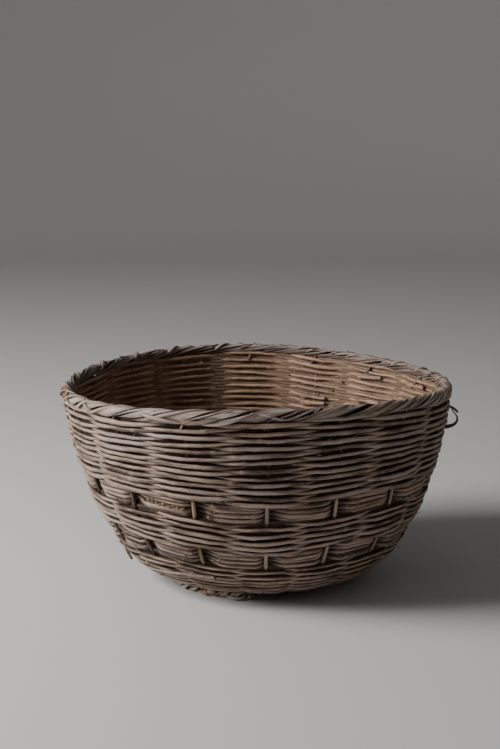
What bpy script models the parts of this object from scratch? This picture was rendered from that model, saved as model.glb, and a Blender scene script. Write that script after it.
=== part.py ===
# Round farm basket of unpeeled rods: a twined floor, sixteen side stakes that bend up
# at the heel, three zones of paired weaving with two open bands between them, and a
# rolled border laid round a core hoop. +Z is up and the front of the basket is -Y.
# Every length is in metres. The origin is on the ground under the middle of the floor.

from bisect import bisect_right
from math import asin, atan, atan2, cos, hypot, pi, radians, sin, tan

import bmesh
import bpy
from mathutils import Matrix, Vector

# Overall form, measured on the middle surface of the wall, where the stakes run.
FLOOR_RADIUS = 0.103
MOUTH_RADIUS = 0.2445
WALL_HEIGHT = 0.2395
FLARE_POWER = 1.4
HEEL_POWER = 0.42
EGG = 0.12
MOUTH_LEAN = -0.005
MOUTH_SWAY = 0.005

# Rods.
STAKE_COUNT = 16
STAKE_RADIUS = 0.00275
FRONT_STAKE_ANGLE = radians(2.0)
STICK_RADIUS = 0.00275
WEAVER_RADIUS = 0.00235
FLOOR_WEAVER_RADIUS = 0.0021
BAND_ROD_RADIUS = 0.0022
FOOT_ROD_RADIUS = 0.0048
CORE_RADIUS = 0.0013
STRAND_RADIUS = 0.0030
LOOP_RADIUS = 0.0016
CLEARANCE = 0.0003
# A stake is drawn in this many straight steps up the wall, and leaves its curve by less
# than the allowance.
STAKE_STEPS = 11
STATION_SAMPLE = 0.001
BEND_ALLOWANCE = 0.0006

# Floor.
CROSS_HALF_WIDTH = 0.0142
FAN_RADIUS = 0.034
FLOOR_WEAVE_START = 0.043
FLOOR_WEAVE_ROUNDS = 5
FLOOR_LEVEL_STEP = 0.0049
STAKE_OVERLAP = 0.039
STICK_GAP = 0.00075
FOOT_RING_RADIUS = 0.109
FOOT_WEAR = 0.0006
FOOT_STEPS = 28

# Wall, as lengths along the wall from the edge of the floor.
LEVEL_STEP = 0.0054
HEEL_GAP = 0.0052
LOWER_ROUNDS = 7
LOWER_BAND = 0.026
MIDDLE_ROUNDS = 4
UPPER_BAND = 0.026
UPPER_ROUNDS = 10
BAND_ROUNDS = 3

# Border.
STRAND_STAKE_COUNT = 3
ROLL_COUNT = 2
ROLL_STEPS = 7
CORE_STEPS = 4

# Side loop on the right, tied through the weave beside a stake.
LOOP_STAKE_INDEX = 4
LOOP_TOP_ROUNDS = 8
LOOP_DROP_ROUNDS = 3
LOOP_REACH = 0.0145
LOOP_SIDE = 0.0052

ROD_SIDES_ROUND = 1
ROD_SIDES_SPLIT = 0
PROFILE_SAMPLES = 1500
SMALL_ANGLE = 1e-4
SMALL_LENGTH = 1e-5

# A stake lies beside its floor stick from this radius out, so the sticks are turned a
# little from the stakes to leave room for it.
STAKE_START = FLOOR_RADIUS - STAKE_OVERLAP
STICK_TURN = -asin((STICK_RADIUS + STAKE_RADIUS + STICK_GAP) / STAKE_START)
ROUND_LEVELS = 2 * LEVEL_STEP
# The wall's weave starts just outside the foot ring.
LOWER_START = FOOT_RING_RADIUS + FOOT_ROD_RADIUS + HEEL_GAP - FLOOR_RADIUS
LOWER_END = LOWER_START + LOWER_ROUNDS * ROUND_LEVELS
MIDDLE_START = LOWER_END + LOWER_BAND
MIDDLE_END = MIDDLE_START + MIDDLE_ROUNDS * ROUND_LEVELS
UPPER_START = MIDDLE_END + UPPER_BAND
UPPER_END = UPPER_START + UPPER_ROUNDS * ROUND_LEVELS
STAKE_STEP = 2 * pi / STAKE_COUNT
# A strand that winds round the core in straight steps cuts each corner by this share.
ROLL_CORNER = 1 / cos(pi / ROLL_STEPS)
CORE_BOW = MOUTH_RADIUS * (1 - cos(pi / (STAKE_COUNT * CORE_STEPS)))
ROLL_RADIUS = (CORE_RADIUS + STRAND_RADIUS + CLEARANCE + CORE_BOW) * ROLL_CORNER
BORDER_HALF = ROLL_RADIUS + STRAND_RADIUS
BORDER_LINE = UPPER_END + BORDER_HALF + CLEARANCE
STAKE_END = BORDER_LINE - BORDER_HALF - CLEARANCE
# The floor hangs this far above the ground, so that its rods rest on the foot ring.
FOOT_CENTRE = FOOT_ROD_RADIUS - FOOT_WEAR
FLOOR_HEIGHT = FOOT_CENTRE + FOOT_ROD_RADIUS + CLEARANCE + STAKE_RADIUS + CLEARANCE


def clear_scene():
    for old in list(bpy.data.objects):
        bpy.data.objects.remove(old, do_unlink=True)


def make_collection(name):
    group = bpy.data.collections.new(name)
    bpy.context.scene.collection.children.link(group)
    return group


def make_material(name, colour, roughness):
    material = bpy.data.materials.new(name)
    material.use_nodes = True
    shader = material.node_tree.nodes["Principled BSDF"]
    shader.inputs["Base Color"].default_value = (*colour, 1.0)
    shader.inputs["Roughness"].default_value = roughness
    shader.inputs["Metallic"].default_value = 0.0
    material.diffuse_color = (*colour, 1.0)
    return material


def profile_radius(height):
    rise = 1 - (1 - height / WALL_HEIGHT) ** FLARE_POWER
    return FLOOR_RADIUS + (MOUTH_RADIUS - FLOOR_RADIUS) * rise ** HEEL_POWER


def sample_profile():
    """The wall from the floor's edge to the top, as (length along it, radius, height)."""
    rows = [(0.0, FLOOR_RADIUS, 0.0)]
    for i in range(1, PROFILE_SAMPLES + 1):
        height = WALL_HEIGHT * (i / PROFILE_SAMPLES) ** 3
        radius = profile_radius(height)
        length, last_radius, last_height = rows[-1]
        rows.append((length + hypot(radius - last_radius, height - last_height), radius, height))
    return rows


PROFILE = sample_profile()
PROFILE_LENGTHS = [row[0] for row in PROFILE]


def profile_point(s):
    """Radius and height at the length s along the wall. Below zero s runs across the floor."""
    if s <= 0:
        return FLOOR_RADIUS + s, 0.0
    above = min(bisect_right(PROFILE_LENGTHS, s), PROFILE_SAMPLES)
    s0, r0, z0 = PROFILE[above - 1]
    s1, r1, z1 = PROFILE[above]
    share = (s - s0) / (s1 - s0)
    return r0 + share * (r1 - r0), z0 + share * (z1 - z0)


def profile_slope(s):
    r0, z0 = profile_point(s)
    r1, z1 = profile_point(s + STATION_SAMPLE)
    return atan2(z1 - z0, r1 - r0)


def middle_surface(angle, s):
    """A point on the middle surface of the basket, at an angle from the front towards +X."""
    radius, height = profile_point(s)
    rise = height / WALL_HEIGHT
    x = radius * sin(angle) + MOUTH_LEAN * rise
    y = -radius * cos(angle) * (1 - EGG * rise * sin(angle))
    z = FLOOR_HEIGHT + height + MOUTH_SWAY * rise ** 2 * cos(2 * angle)
    return Vector((x, y, z))


def surface_frame(angle, s):
    """Middle point with the unit directions round, up along and out of the surface."""
    centre = middle_surface(angle, s)
    around = middle_surface(angle + SMALL_ANGLE, s) - middle_surface(angle - SMALL_ANGLE, s)
    upward = middle_surface(angle, s + SMALL_LENGTH) - middle_surface(angle, s - SMALL_LENGTH)
    around.normalize()
    outward = around.cross(upward).normalized()
    upward = outward.cross(around).normalized()
    return centre, around, upward, outward


def wall_point(angle, s, out=0.0, side=0.0, up=0.0):
    centre, around, upward, outward = surface_frame(angle, s)
    return centre + outward * out + around * side + upward * up


def add_rod(name, points, radius, group, material, sides=ROD_SIDES_ROUND, closed=False):
    """A rod along straight steps between points, with filled ends."""
    curve = bpy.data.curves.new(name, "CURVE")
    curve.dimensions = "3D"
    curve.bevel_depth = radius
    curve.bevel_resolution = sides
    curve.use_fill_caps = True
    curve.twist_mode = "MINIMUM"
    spline = curve.splines.new("POLY")
    spline.points.add(len(points) - 1)
    for spot, point in zip(spline.points, points):
        spot.co = (*point, 1.0)
    spline.use_cyclic_u = closed
    spline.use_smooth = True
    curve.materials.append(material)
    rod = bpy.data.objects.new(name, curve)
    group.objects.link(rod)
    return rod


def curve_to_mesh(rod):
    """The same piece as a closed mesh, so that it can be cut."""
    evaluated = rod.evaluated_get(bpy.context.evaluated_depsgraph_get())
    mesh = bpy.data.meshes.new_from_object(evaluated)
    work = bmesh.new()
    work.from_mesh(mesh)
    bmesh.ops.remove_doubles(work, verts=work.verts, dist=SMALL_LENGTH)
    work.to_mesh(mesh)
    work.free()
    name = rod.name
    place = rod.matrix_world.copy()
    group = rod.users_collection[0]
    bpy.data.objects.remove(rod, do_unlink=True)
    piece = bpy.data.objects.new(name, mesh)
    piece.matrix_world = place
    group.objects.link(piece)
    return piece


def passing_offset(core_radius, rod_radius, spacing, turn, half_gap=0.0):
    """How far out a rod's corner stands to clear what it passes, when it runs straight
    from the outside of one stake to the inside of the next."""
    reach = core_radius + rod_radius + CLEARANCE + BEND_ALLOWANCE / 2
    offset = reach
    for _ in range(30):
        slope = atan(2 * offset / spacing) + turn
        offset = reach / cos(slope) + half_gap * tan(slope)
    return offset


def stake_angle(index):
    return FRONT_STAKE_ANGLE + index * STAKE_STEP


def weave_points(first_side, start, rounds):
    """One rod of a pair. It passes outside every second stake and inside the others, stays
    level for a round and steps up by two levels behind the basket."""
    points = []
    back = STAKE_COUNT // 2
    for step in range(rounds * STAKE_COUNT):
        s = start + (step // STAKE_COUNT) * ROUND_LEVELS
        angle = stake_angle(back + step)
        spacing = profile_point(s)[0] * STAKE_STEP
        outside = (step + first_side) % 2 == 0
        turn = STAKE_STEP / 2 if outside else -STAKE_STEP / 2
        offset = passing_offset(STAKE_RADIUS, WEAVER_RADIUS, spacing, turn)
        points.append(wall_point(angle, s, out=offset if outside else -offset))
    return points


def add_wall_zone(zone, start, rounds, group, material):
    for letter, first_side in (("a", 0), ("b", 1)):
        level = start + (first_side + 0.5) * LEVEL_STEP
        points = weave_points(first_side, level, rounds)
        add_rod(f"{zone}_weaver_{letter}", points, WEAVER_RADIUS, group, material)


def add_band(name, start, width, group, material):
    """A rod sprung out against the inside of the stakes, round after round."""
    points = []
    back = STAKE_COUNT // 2
    inside = -(STAKE_RADIUS + BAND_ROD_RADIUS + CLEARANCE + BEND_ALLOWANCE / 2)
    for step in range(BAND_ROUNDS * STAKE_COUNT):
        s = start + (step // STAKE_COUNT + 0.5) * width / BAND_ROUNDS
        points.append(wall_point(stake_angle(back + step), s, out=inside))
    add_rod(name, points, BAND_ROD_RADIUS, group, material, sides=ROD_SIDES_SPLIT)


def stake_stations():
    """Lengths along the wall at which a stake is drawn. They lie closest where it bends most,
    so that each straight step leaves the curve by the same amount."""
    samples = int(STAKE_END / STATION_SAMPLE)
    bends = [0.0]
    for i in range(samples - 1):
        bend = profile_slope((i + 1) * STATION_SAMPLE) - profile_slope(i * STATION_SAMPLE)
        bends.append(bends[-1] + (max(bend, 0.0) * STATION_SAMPLE) ** 0.5)
    stations = [STAKE_START - FLOOR_RADIUS, 0.0]
    for i in range(1, samples):
        if bends[i] >= bends[-1] * (len(stations) - 1) / STAKE_STEPS:
            stations.append(i * STATION_SAMPLE)
    return stations[:STAKE_STEPS + 1] + [STAKE_END]


def add_stakes(group, material):
    for index in range(STAKE_COUNT):
        angle = stake_angle(index)
        points = [wall_point(angle, s, out=BEND_ALLOWANCE / 2) for s in stake_stations()]
        name = f"side_stake_{index + 1:02d}"
        add_rod(name, points, STAKE_RADIUS, group, material, sides=ROD_SIDES_SPLIT)


def floor_ray(angle, radius, height):
    return Vector((radius * sin(angle), -radius * cos(angle), height))


def add_floor_sticks(group, material):
    """Four sticks laid over four others, fanned out into sixteen evenly spread rays."""
    across = STAKE_COUNT // 4
    pitch = 2 * STICK_RADIUS + CLEARANCE
    layer = STICK_RADIUS + CLEARANCE / 2
    number = 0
    for crossing in range(2):
        for place in range(across):
            number += 1
            first = crossing * across + place
            sideways = (place - (across - 1) / 2) * pitch
            height = FLOOR_HEIGHT + (layer if crossing else -layer)
            middle = stake_angle(crossing * across + (across - 1) / 2) + STICK_TURN
            along = Vector((sin(middle), -cos(middle), 0.0))
            beside = Vector((cos(middle), sin(middle), 0.0))
            centre = Vector((0.0, 0.0, height)) + beside * sideways
            near = stake_angle(first) + STICK_TURN
            far = stake_angle(2 * across + crossing * across + across - 1 - place) + STICK_TURN
            end = FLOOR_RADIUS - 2 * FLOOR_WEAVER_RADIUS
            points = [
                floor_ray(near, end, FLOOR_HEIGHT),
                floor_ray(near, FAN_RADIUS, FLOOR_HEIGHT),
                centre + along * CROSS_HALF_WIDTH,
                centre - along * CROSS_HALF_WIDTH,
                floor_ray(far, FAN_RADIUS, FLOOR_HEIGHT),
                floor_ray(far, end, FLOOR_HEIGHT),
            ]
            name = f"floor_stick_{number}"
            add_rod(name, points, STICK_RADIUS, group, material, sides=ROD_SIDES_SPLIT)


def floor_weave_points(first_side):
    """One rod of the floor's pair, in a spiral. Past the inner ends of the stakes it passes
    each stick and its stake together."""
    points = []
    start = FLOOR_WEAVE_START + first_side * FLOOR_LEVEL_STEP
    for step in range(FLOOR_WEAVE_ROUNDS * STAKE_COUNT):
        radius = start + 2 * FLOOR_LEVEL_STEP * step / STAKE_COUNT
        paired = radius > STAKE_START - FLOOR_LEVEL_STEP
        angle = stake_angle(step) + (STICK_TURN / 2 if paired else STICK_TURN)
        half_gap = radius * sin(-STICK_TURN / 2) if paired else 0.0
        outside = (step + first_side) % 2 == 0
        spacing = radius * STAKE_STEP
        offset = passing_offset(STICK_RADIUS, FLOOR_WEAVER_RADIUS, spacing, 0.0, half_gap)
        points.append(wall_point(angle, radius - FLOOR_RADIUS, out=offset if outside else -offset))
    return points


def add_floor_weave(group, material):
    for letter, first_side in (("a", 0), ("b", 1)):
        points = floor_weave_points(first_side)
        name = f"floor_weaver_{letter}"
        add_rod(name, points, FLOOR_WEAVER_RADIUS, group, material, sides=ROD_SIDES_SPLIT)


def ground_block_scale():
    """Turns a unit cube into a block as wide as the foot and two foot rods deep."""
    width = 2 * (FOOT_RING_RADIUS + 2 * FOOT_ROD_RADIUS)
    return Matrix.Diagonal((width, width, 2 * FOOT_ROD_RADIUS, 1.0))


def add_foot_ring(group, cutters, material):
    """A stout hoop under the heel, worn flat where it stands."""
    points = []
    for step in range(FOOT_STEPS):
        points.append(floor_ray(2 * pi * step / FOOT_STEPS, FOOT_RING_RADIUS, FOOT_CENTRE))
    ring = add_rod("foot_ring", points, FOOT_ROD_RADIUS, group, material, closed=True)
    ring.data.bevel_resolution = 2
    piece = curve_to_mesh(ring)
    bpy.ops.mesh.primitive_cube_add(size=1.0)
    ground = bpy.context.active_object
    ground.name = "ground_cutter"
    for old_group in list(ground.users_collection):
        old_group.objects.unlink(ground)
    cutters.objects.link(ground)
    ground.data.transform(ground_block_scale())
    ground.location = (0.0, 0.0, -FOOT_ROD_RADIUS)
    ground.hide_render = True
    ground.display_type = "WIRE"
    cut = piece.modifiers.new("worn_flat", "BOOLEAN")
    cut.operation = "DIFFERENCE"
    cut.object = ground
    return piece


def add_border(group, core_material, strand_material):
    """A core hoop and one split strand for each stake, rolled round it over three stakes."""
    core_count = STAKE_COUNT * CORE_STEPS
    core = [wall_point(2 * pi * i / core_count, BORDER_LINE) for i in range(core_count)]
    add_rod("border_core", core, CORE_RADIUS, group, core_material, sides=ROD_SIDES_SPLIT, closed=True)
    step_count = ROLL_COUNT * ROLL_STEPS
    span = STRAND_STAKE_COUNT * STAKE_STEP
    end_gap = 2 * CLEARANCE / (MOUTH_RADIUS * span)
    for index in range(STAKE_COUNT):
        points = []
        for i in range(step_count + 1):
            share = min(max(i / step_count, end_gap), 1 - end_gap)
            roll = -pi / 2 + 2 * pi * ROLL_COUNT * share
            angle = stake_angle(index) + span * share
            out = ROLL_RADIUS * cos(roll)
            up = ROLL_RADIUS * sin(roll)
            points.append(wall_point(angle, BORDER_LINE, out=out, up=up))
        name = f"border_strand_{index + 1:02d}"
        add_rod(name, points, STRAND_RADIUS, group, strand_material, sides=ROD_SIDES_SPLIT)


def add_side_loop(group, material):
    """A small tie of split cane that stands out of the wall on the right."""
    angle = stake_angle(LOOP_STAKE_INDEX)
    seat = WEAVER_RADIUS + LOOP_RADIUS + CLEARANCE
    rod_line = UPPER_START + LEVEL_STEP / 2
    top = rod_line + LOOP_TOP_ROUNDS * ROUND_LEVELS + seat
    bottom = top - LOOP_DROP_ROUNDS * ROUND_LEVELS
    middle = (top + bottom) / 2
    half = (top - bottom) / 2
    start_out = 0.0
    straight_out = STAKE_RADIUS + 2 * WEAVER_RADIUS
    points = [wall_point(angle, top, out=start_out, side=LOOP_SIDE)]
    arc_steps = 6
    for i in range(arc_steps + 1):
        turn = pi / 2 - pi * i / arc_steps
        out = straight_out + LOOP_REACH * cos(turn)
        up = half * sin(turn)
        points.append(wall_point(angle, middle, out=out, side=LOOP_SIDE, up=up))
    points.append(wall_point(angle, bottom, out=start_out, side=LOOP_SIDE))
    add_rod("side_loop", points, LOOP_RADIUS, group, material)


def build():
    clear_scene()
    basket = make_collection("bamboo_basket")
    cutters = make_collection("cutters")
    rod = make_material("weathered_rod", (0.23, 0.17, 0.13), 0.8)
    stake = make_material("stake_rod", (0.27, 0.20, 0.15), 0.75)
    stick = make_material("floor_rod", (0.19, 0.14, 0.10), 0.85)
    strand = make_material("border_cane", (0.30, 0.23, 0.18), 0.65)
    add_floor_sticks(basket, stick)
    add_floor_weave(basket, stick)
    add_foot_ring(basket, cutters, stick)
    add_stakes(basket, stake)
    add_wall_zone("lower", LOWER_START, LOWER_ROUNDS, basket, rod)
    add_band("lower_band_rod", LOWER_END, LOWER_BAND, basket, rod)
    add_wall_zone("middle", MIDDLE_START, MIDDLE_ROUNDS, basket, rod)
    add_band("upper_band_rod", MIDDLE_END, UPPER_BAND, basket, rod)
    add_wall_zone("upper", UPPER_START, UPPER_ROUNDS, basket, rod)
    add_border(basket, stick, strand)
    add_side_loop(basket, strand)
    bpy.context.view_layer.update()
    print("wall length used", round(BORDER_LINE, 4), "of", round(PROFILE[-1][0], 4))


build()
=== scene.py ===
# %% [markdown]
# # A farm basket of woven rods
# This lesson dresses a plain solid model of a basket, which has a solid for every stake,
# weaver and border strand. Here each of them gets its natural shape and its weathered
# bark, and the basket gets a pale floor, soft light and a camera.

from math import cos, pi, radians, sin

import bpy
import numpy as np
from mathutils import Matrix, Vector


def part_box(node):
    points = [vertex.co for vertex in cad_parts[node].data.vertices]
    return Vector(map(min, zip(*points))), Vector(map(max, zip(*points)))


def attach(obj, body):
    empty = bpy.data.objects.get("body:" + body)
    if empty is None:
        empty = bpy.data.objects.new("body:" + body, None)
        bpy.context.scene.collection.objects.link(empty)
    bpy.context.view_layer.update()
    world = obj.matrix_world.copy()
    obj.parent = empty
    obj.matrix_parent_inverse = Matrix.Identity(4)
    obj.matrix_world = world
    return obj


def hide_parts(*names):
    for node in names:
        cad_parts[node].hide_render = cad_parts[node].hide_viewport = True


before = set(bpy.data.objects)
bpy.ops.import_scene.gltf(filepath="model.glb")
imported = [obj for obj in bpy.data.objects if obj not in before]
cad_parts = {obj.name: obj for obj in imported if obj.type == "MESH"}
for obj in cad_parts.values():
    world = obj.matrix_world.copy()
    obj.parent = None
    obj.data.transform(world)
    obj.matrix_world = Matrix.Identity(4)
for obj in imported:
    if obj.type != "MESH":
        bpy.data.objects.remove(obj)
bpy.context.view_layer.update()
bpy.ops.object.select_all(action="DESELECT")
print("nodes in the frame:", len(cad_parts))

# %% [markdown]
# ## The shape that all the rods follow
# A basket is woven over stakes, so one surface carries everything: the middle of the wall,
# where the stakes run. A point on it is given by its angle round the basket, from the
# front towards the right, and by its length along the wall from the edge of the floor.

# %% The profile of the wall
FLOOR_RADIUS = 0.103
MOUTH_RADIUS = 0.2445
WALL_HEIGHT = 0.2395
WALL_LENGTH = 0.295
FLARE_POWER = 1.4
HEEL_POWER = 0.42

height_samples = WALL_HEIGHT * np.linspace(0.0, 1.0, 1500) ** 3
flare = (1 - (1 - height_samples / WALL_HEIGHT) ** FLARE_POWER) ** HEEL_POWER
radius_samples = FLOOR_RADIUS + (MOUTH_RADIUS - FLOOR_RADIUS) * flare
sample_gaps = np.hypot(np.diff(radius_samples), np.diff(height_samples))
length_samples = np.concatenate([[0.0], np.cumsum(sample_gaps)])
print("length of the wall:", round(float(length_samples[-1]), 4))


def profile(s):
    """Radius and height at the length s along the wall. Below zero s runs across the floor."""
    beyond = np.maximum(s - length_samples[-1], 0.0)
    radius = np.interp(s, length_samples, radius_samples) + np.minimum(s, 0.0)
    height = np.interp(s, length_samples, height_samples) + beyond
    return radius, height


# %% [markdown]
# ## Hand-made drift
# A maker's hands leave some drift in the wall. Low on the left front the stakes lean, the
# rows stand higher at the sides than in front, and small waves run through them. Every rod
# reads the same drift, so the rods still fit each other.

# %% Drift
LEAN_PLACE = radians(-33)
LEAN_REACH = radians(24)
LEAN_HEIGHT = 0.105
LEAN_SPREAD = 0.05
LEAN_TURN = radians(-2.2)
STRAY_TURN = radians(0.8)
SIDE_RISE = 0.013
SIDE_SOFTNESS = 0.35
RIGHT_DROP = 0.0035
# Each wave: its height, how often it comes round the basket, and its twist up the wall.
ROW_WAVES = ((0.0012, 3, 14), (0.0009, 9, 23))


def apart(angle, place):
    """How far an angle is from a place round the basket, at most half a turn."""
    return np.angle(np.exp(1j * (angle - place)))


def drift(theta, s):
    """How far the rods stray: sideways as an angle, and along the wall as a length."""
    share = np.clip(s / WALL_LENGTH, 0.0, 1.0)
    low_band = np.exp(-((s - LEAN_HEIGHT) / LEAN_SPREAD) ** 2)
    left = np.exp(-((apart(theta, LEAN_PLACE) / LEAN_REACH) ** 2))
    sideways = LEAN_TURN * left * low_band + STRAY_TURN * np.sin(5 * theta + 2) * share
    tilt = SIDE_RISE * np.tanh(np.sin(theta) ** 2 / SIDE_SOFTNESS) - RIGHT_DROP * np.sin(theta)
    rise = tilt * np.sin(pi * share) ** 2
    for size, count, twist in ROW_WAVES:
        rise = rise + size * np.sin(count * theta + twist * share) * np.sin(pi * share)
    return sideways, rise


# %% The middle surface of the wall
EGG = 0.12
LOBE = 0.0012
MOUTH_LEAN = -0.005
MOUTH_SWAY = 0.005
FLOOR_HEIGHT = 0.01235

STAKE_COUNT = 16
STAKE_STEP = 2 * pi / STAKE_COUNT
FRONT_STAKE_ANGLE = radians(2.0)


def middle(theta, s):
    """Points on the middle surface. The mouth is a little egg shaped and not quite level."""
    sideways, rise = drift(theta, s)
    turned = theta + sideways
    radius, height = profile(s + rise)
    share = height / WALL_HEIGHT
    radius = radius + LOBE * np.sin(4 * theta + 1.0) * share
    x = radius * np.sin(turned) + MOUTH_LEAN * share
    y = -radius * np.cos(turned) * (1 - EGG * share * np.sin(turned))
    z = FLOOR_HEIGHT + height + MOUTH_SWAY * share ** 2 * np.cos(2 * turned)
    return np.stack([x, y, z], axis=-1)


def unit(v):
    return v / np.linalg.norm(v, axis=-1, keepdims=True)


def on_wall(theta, s, out=0.0, up=0.0):
    """Points beside the middle surface, and the direction out of the basket at each."""
    theta, s, out, up = np.broadcast_arrays(theta, s, out, up)
    around = unit(middle(theta + 1e-3, s) - middle(theta - 1e-3, s))
    upward = unit(middle(theta, s + 4e-4) - middle(theta, s - 4e-4))
    outward = unit(np.cross(around, upward))
    upward = unit(np.cross(outward, around))
    points = middle(theta, s) + outward * out[..., None] + upward * up[..., None]
    return points, outward


def stake_angle(index):
    return FRONT_STAKE_ANGLE + index * STAKE_STEP


print("front of the mouth:", middle(0.0, WALL_LENGTH).round(3))

# %% [markdown]
# ## How a rod is made
# Blender's curve bevel gives a round tube, but a grown rod is thicker at one end, a little
# oval and knotted, and its bark has a direction. So a ring is taken from a circle primitive
# and carried along a path of points. Each ring gets its own width and thickness. Five
# values are kept at every point for the material: where it lies on the bark, the tone of
# its rod, its crest, which is high where hands and weather reach it and low where the bark
# is painted dark as dirt and painted shade, whether it faces out of the basket, and how
# near a knot it is.

# %% The ring
RING_SIDES = 10

bpy.ops.mesh.primitive_circle_add(vertices=RING_SIDES, radius=1.0)
ring_object = bpy.context.active_object
ring_corners = np.array([v.co[:2] for v in ring_object.data.vertices])
bpy.data.objects.remove(ring_object, do_unlink=True)
ring_angles = np.sort(np.arctan2(ring_corners[:, 1], ring_corners[:, 0]))
print("corners in a ring:", len(ring_angles))


def ring_faces(count):
    """The quads between neighbouring rings, and one face that closes each end."""
    first = np.arange(count - 1)[:, None] * RING_SIDES
    j = np.arange(RING_SIDES)[None, :]
    k = (j + 1) % RING_SIDES
    quads = np.stack([first + j, first + k, first + k + RING_SIDES, first + j + RING_SIDES], -1)
    ends = [np.arange(RING_SIDES)[::-1], (count - 1) * RING_SIDES + np.arange(RING_SIDES)]
    return quads.reshape(-1, 4), ends


# %% A ring carried along a path
SHIFT_ALONG = 7.0
SHIFT_ACROSS = 0.1
LEAST_CREST = 0.3


def carry_ring(points, outward, thick, wide, tone, bare_out, bare_in=0.3, knot=0.0):
    """One closed rod. Thick is its half size along outward, wide its half size across it."""
    count = len(points)
    tangent = unit(np.gradient(points, axis=0))
    outward = unit(outward - tangent * (outward * tangent).sum(1, keepdims=True))
    across = np.cross(tangent, outward)
    c = np.cos(ring_angles)[None, :, None]
    d = np.sin(ring_angles)[None, :, None]
    thick = np.broadcast_to(thick, count)[:, None, None]
    wide = np.broadcast_to(wide, count)[:, None, None]
    around = outward[:, None, :] * c * thick + across[:, None, :] * d * wide
    corners = points[:, None, :] + around
    gaps = np.linalg.norm(np.diff(points, axis=0), axis=1)
    along = np.concatenate([[0.0], np.cumsum(gaps)])
    bark = np.empty((count, RING_SIDES, 3))
    bark[..., 0] = along[:, None] + SHIFT_ALONG * tone
    bark[..., 1] = (c * thick)[..., 0] + SHIFT_ACROSS * tone
    bark[..., 2] = (d * wide)[..., 0]
    # The crest is lowest on the sides of each ring, where it meets the next rods, and on faces that
    # bare_out and bare_in mark as hidden; the material paints the bark dark there, as dirt and
    # painted shade.
    facing = np.cos(ring_angles)[None, :]
    bare_out = np.clip(np.broadcast_to(bare_out, count), 0, 1)[:, None]
    bare_in = np.clip(np.broadcast_to(bare_in, count), 0, 1)[:, None]
    bare = np.where(facing > 0, bare_out * facing, -bare_in * facing)
    quads, ends = ring_faces(count)
    return {
        "points": corners.reshape(-1, 3),
        "quads": quads,
        "ends": ends,
        "bark": bark.reshape(-1, 3),
        "tone": np.full(count * RING_SIDES, tone),
        "crest": (LEAST_CREST + (1 - LEAST_CREST) * bare).reshape(-1),
        "outside": np.broadcast_to(0.5 + 0.5 * facing, bare.shape).reshape(-1),
        "knot": np.repeat(np.broadcast_to(knot, count), RING_SIDES),
    }


# %% Several rods as one piece
def make_piece(name, rods, material, slot, *nodes):
    """Joins closed rods into one object that stands for its nodes of the frame."""
    faces = []
    start = 0
    for rod in rods:
        faces.extend((rod["quads"] + start).tolist())
        faces.extend([(end + start).tolist() for end in rod["ends"]])
        start += len(rod["points"])
    mesh = bpy.data.meshes.new(name)
    mesh.from_pydata(np.concatenate([rod["points"] for rod in rods]).tolist(), [], faces)
    bark = mesh.attributes.new("bark", "FLOAT_VECTOR", "POINT")
    bark.data.foreach_set("vector", np.concatenate([rod["bark"] for rod in rods]).ravel())
    for key in ("tone", "crest", "outside", "knot"):
        values = mesh.attributes.new(key, "FLOAT", "POINT")
        values.data.foreach_set("value", np.concatenate([rod[key] for rod in rods]))
    mesh.shade_smooth()
    mesh.materials.append(material)
    piece = bpy.data.objects.new(name, mesh)
    bpy.context.scene.collection.objects.link(piece)
    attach(piece, "root")
    if nodes:
        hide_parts(*nodes)
    print(name, "rods", len(rods), "faces", len(faces))
    return piece


# %% [markdown]
# ## Natural unevenness
# Nothing in a farm basket is straight. A few slow waves added together give each rod its
# own drift, and the same seed gives the same basket on every run.

# %% Waves and knots
chance = np.random.RandomState(16)
KNOT_SPACING = 0.1
KNOT_LENGTH = 0.0022
KNOT_SWELL = 0.0003
print("about one knot every", KNOT_SPACING, "m of rod")


def wander(x, wave, size):
    """A smooth random line with about the given wave length and size."""
    total = np.zeros_like(x)
    for share in (1.0, 0.61, 0.37):
        total += share * np.sin(2 * pi * x / (wave * share) + chance.uniform(0, 2 * pi))
    return total * size / 1.6


def rod_thickness(along, butt, tip):
    """Half thickness of a rod that tapers from butt to tip, and its knots as 0 to 1."""
    length = along[-1] - along[0]
    radius = butt + (tip - butt) * (along - along[0]) / length
    knot = np.zeros_like(along)
    first = along[0] + chance.uniform(0.03, KNOT_SPACING)
    for place in np.arange(first, along[-1], KNOT_SPACING):
        spot = place + chance.uniform(-0.03, 0.03)
        bump = chance.uniform(0.3, 1.0) * np.exp(-((along - spot) / KNOT_LENGTH) ** 2)
        knot = np.maximum(knot, bump)
    return (radius + KNOT_SWELL * knot) * (1 + 0.05 * wander(along, 0.09, 1.0)), knot


# %% [markdown]
# ## Bark
# Weathered rods are dark brown under a grey, slightly pink film. The film stays where air
# and hands reach the rod. Where the crest is low, in the gaps and on faces hidden by other
# rods, the bark is painted dark, as dirt and as painted shade. The streaks follow the rod,
# so the pattern reads the bark coordinates that were stored on the mesh. A few helpers keep
# the material short: each adds one node and returns its output.

# %% Helpers for material nodes
def new_node(tree, kind, **settings):
    """Adds a node to a material's tree and sets what is named."""
    node = tree.nodes.new(kind)
    for key, value in settings.items():
        setattr(node, key, value)
    return node


def fill(socket, value):
    """Sets a number or a colour on an input, and links anything else to it."""
    if isinstance(value, float):
        socket.default_value = value
    elif isinstance(value, tuple):
        socket.default_value = (*value, 1.0)
    else:
        socket.id_data.links.new(value, socket)


def stored(tree, key, output="Fac"):
    """What the mesh keeps under this name at each point."""
    return new_node(tree, "ShaderNodeAttribute", attribute_name=key).outputs[output]


def combine(operation, a, b):
    """Two numbers made one. The first is always another node's output."""
    node = new_node(a.id_data, "ShaderNodeMath", operation=operation)
    fill(node.inputs[0], a)
    fill(node.inputs[1], b)
    return node.outputs["Value"]


def plus(a, b):
    return combine("ADD", a, b)


def times(a, b):
    return combine("MULTIPLY", a, b)


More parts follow.
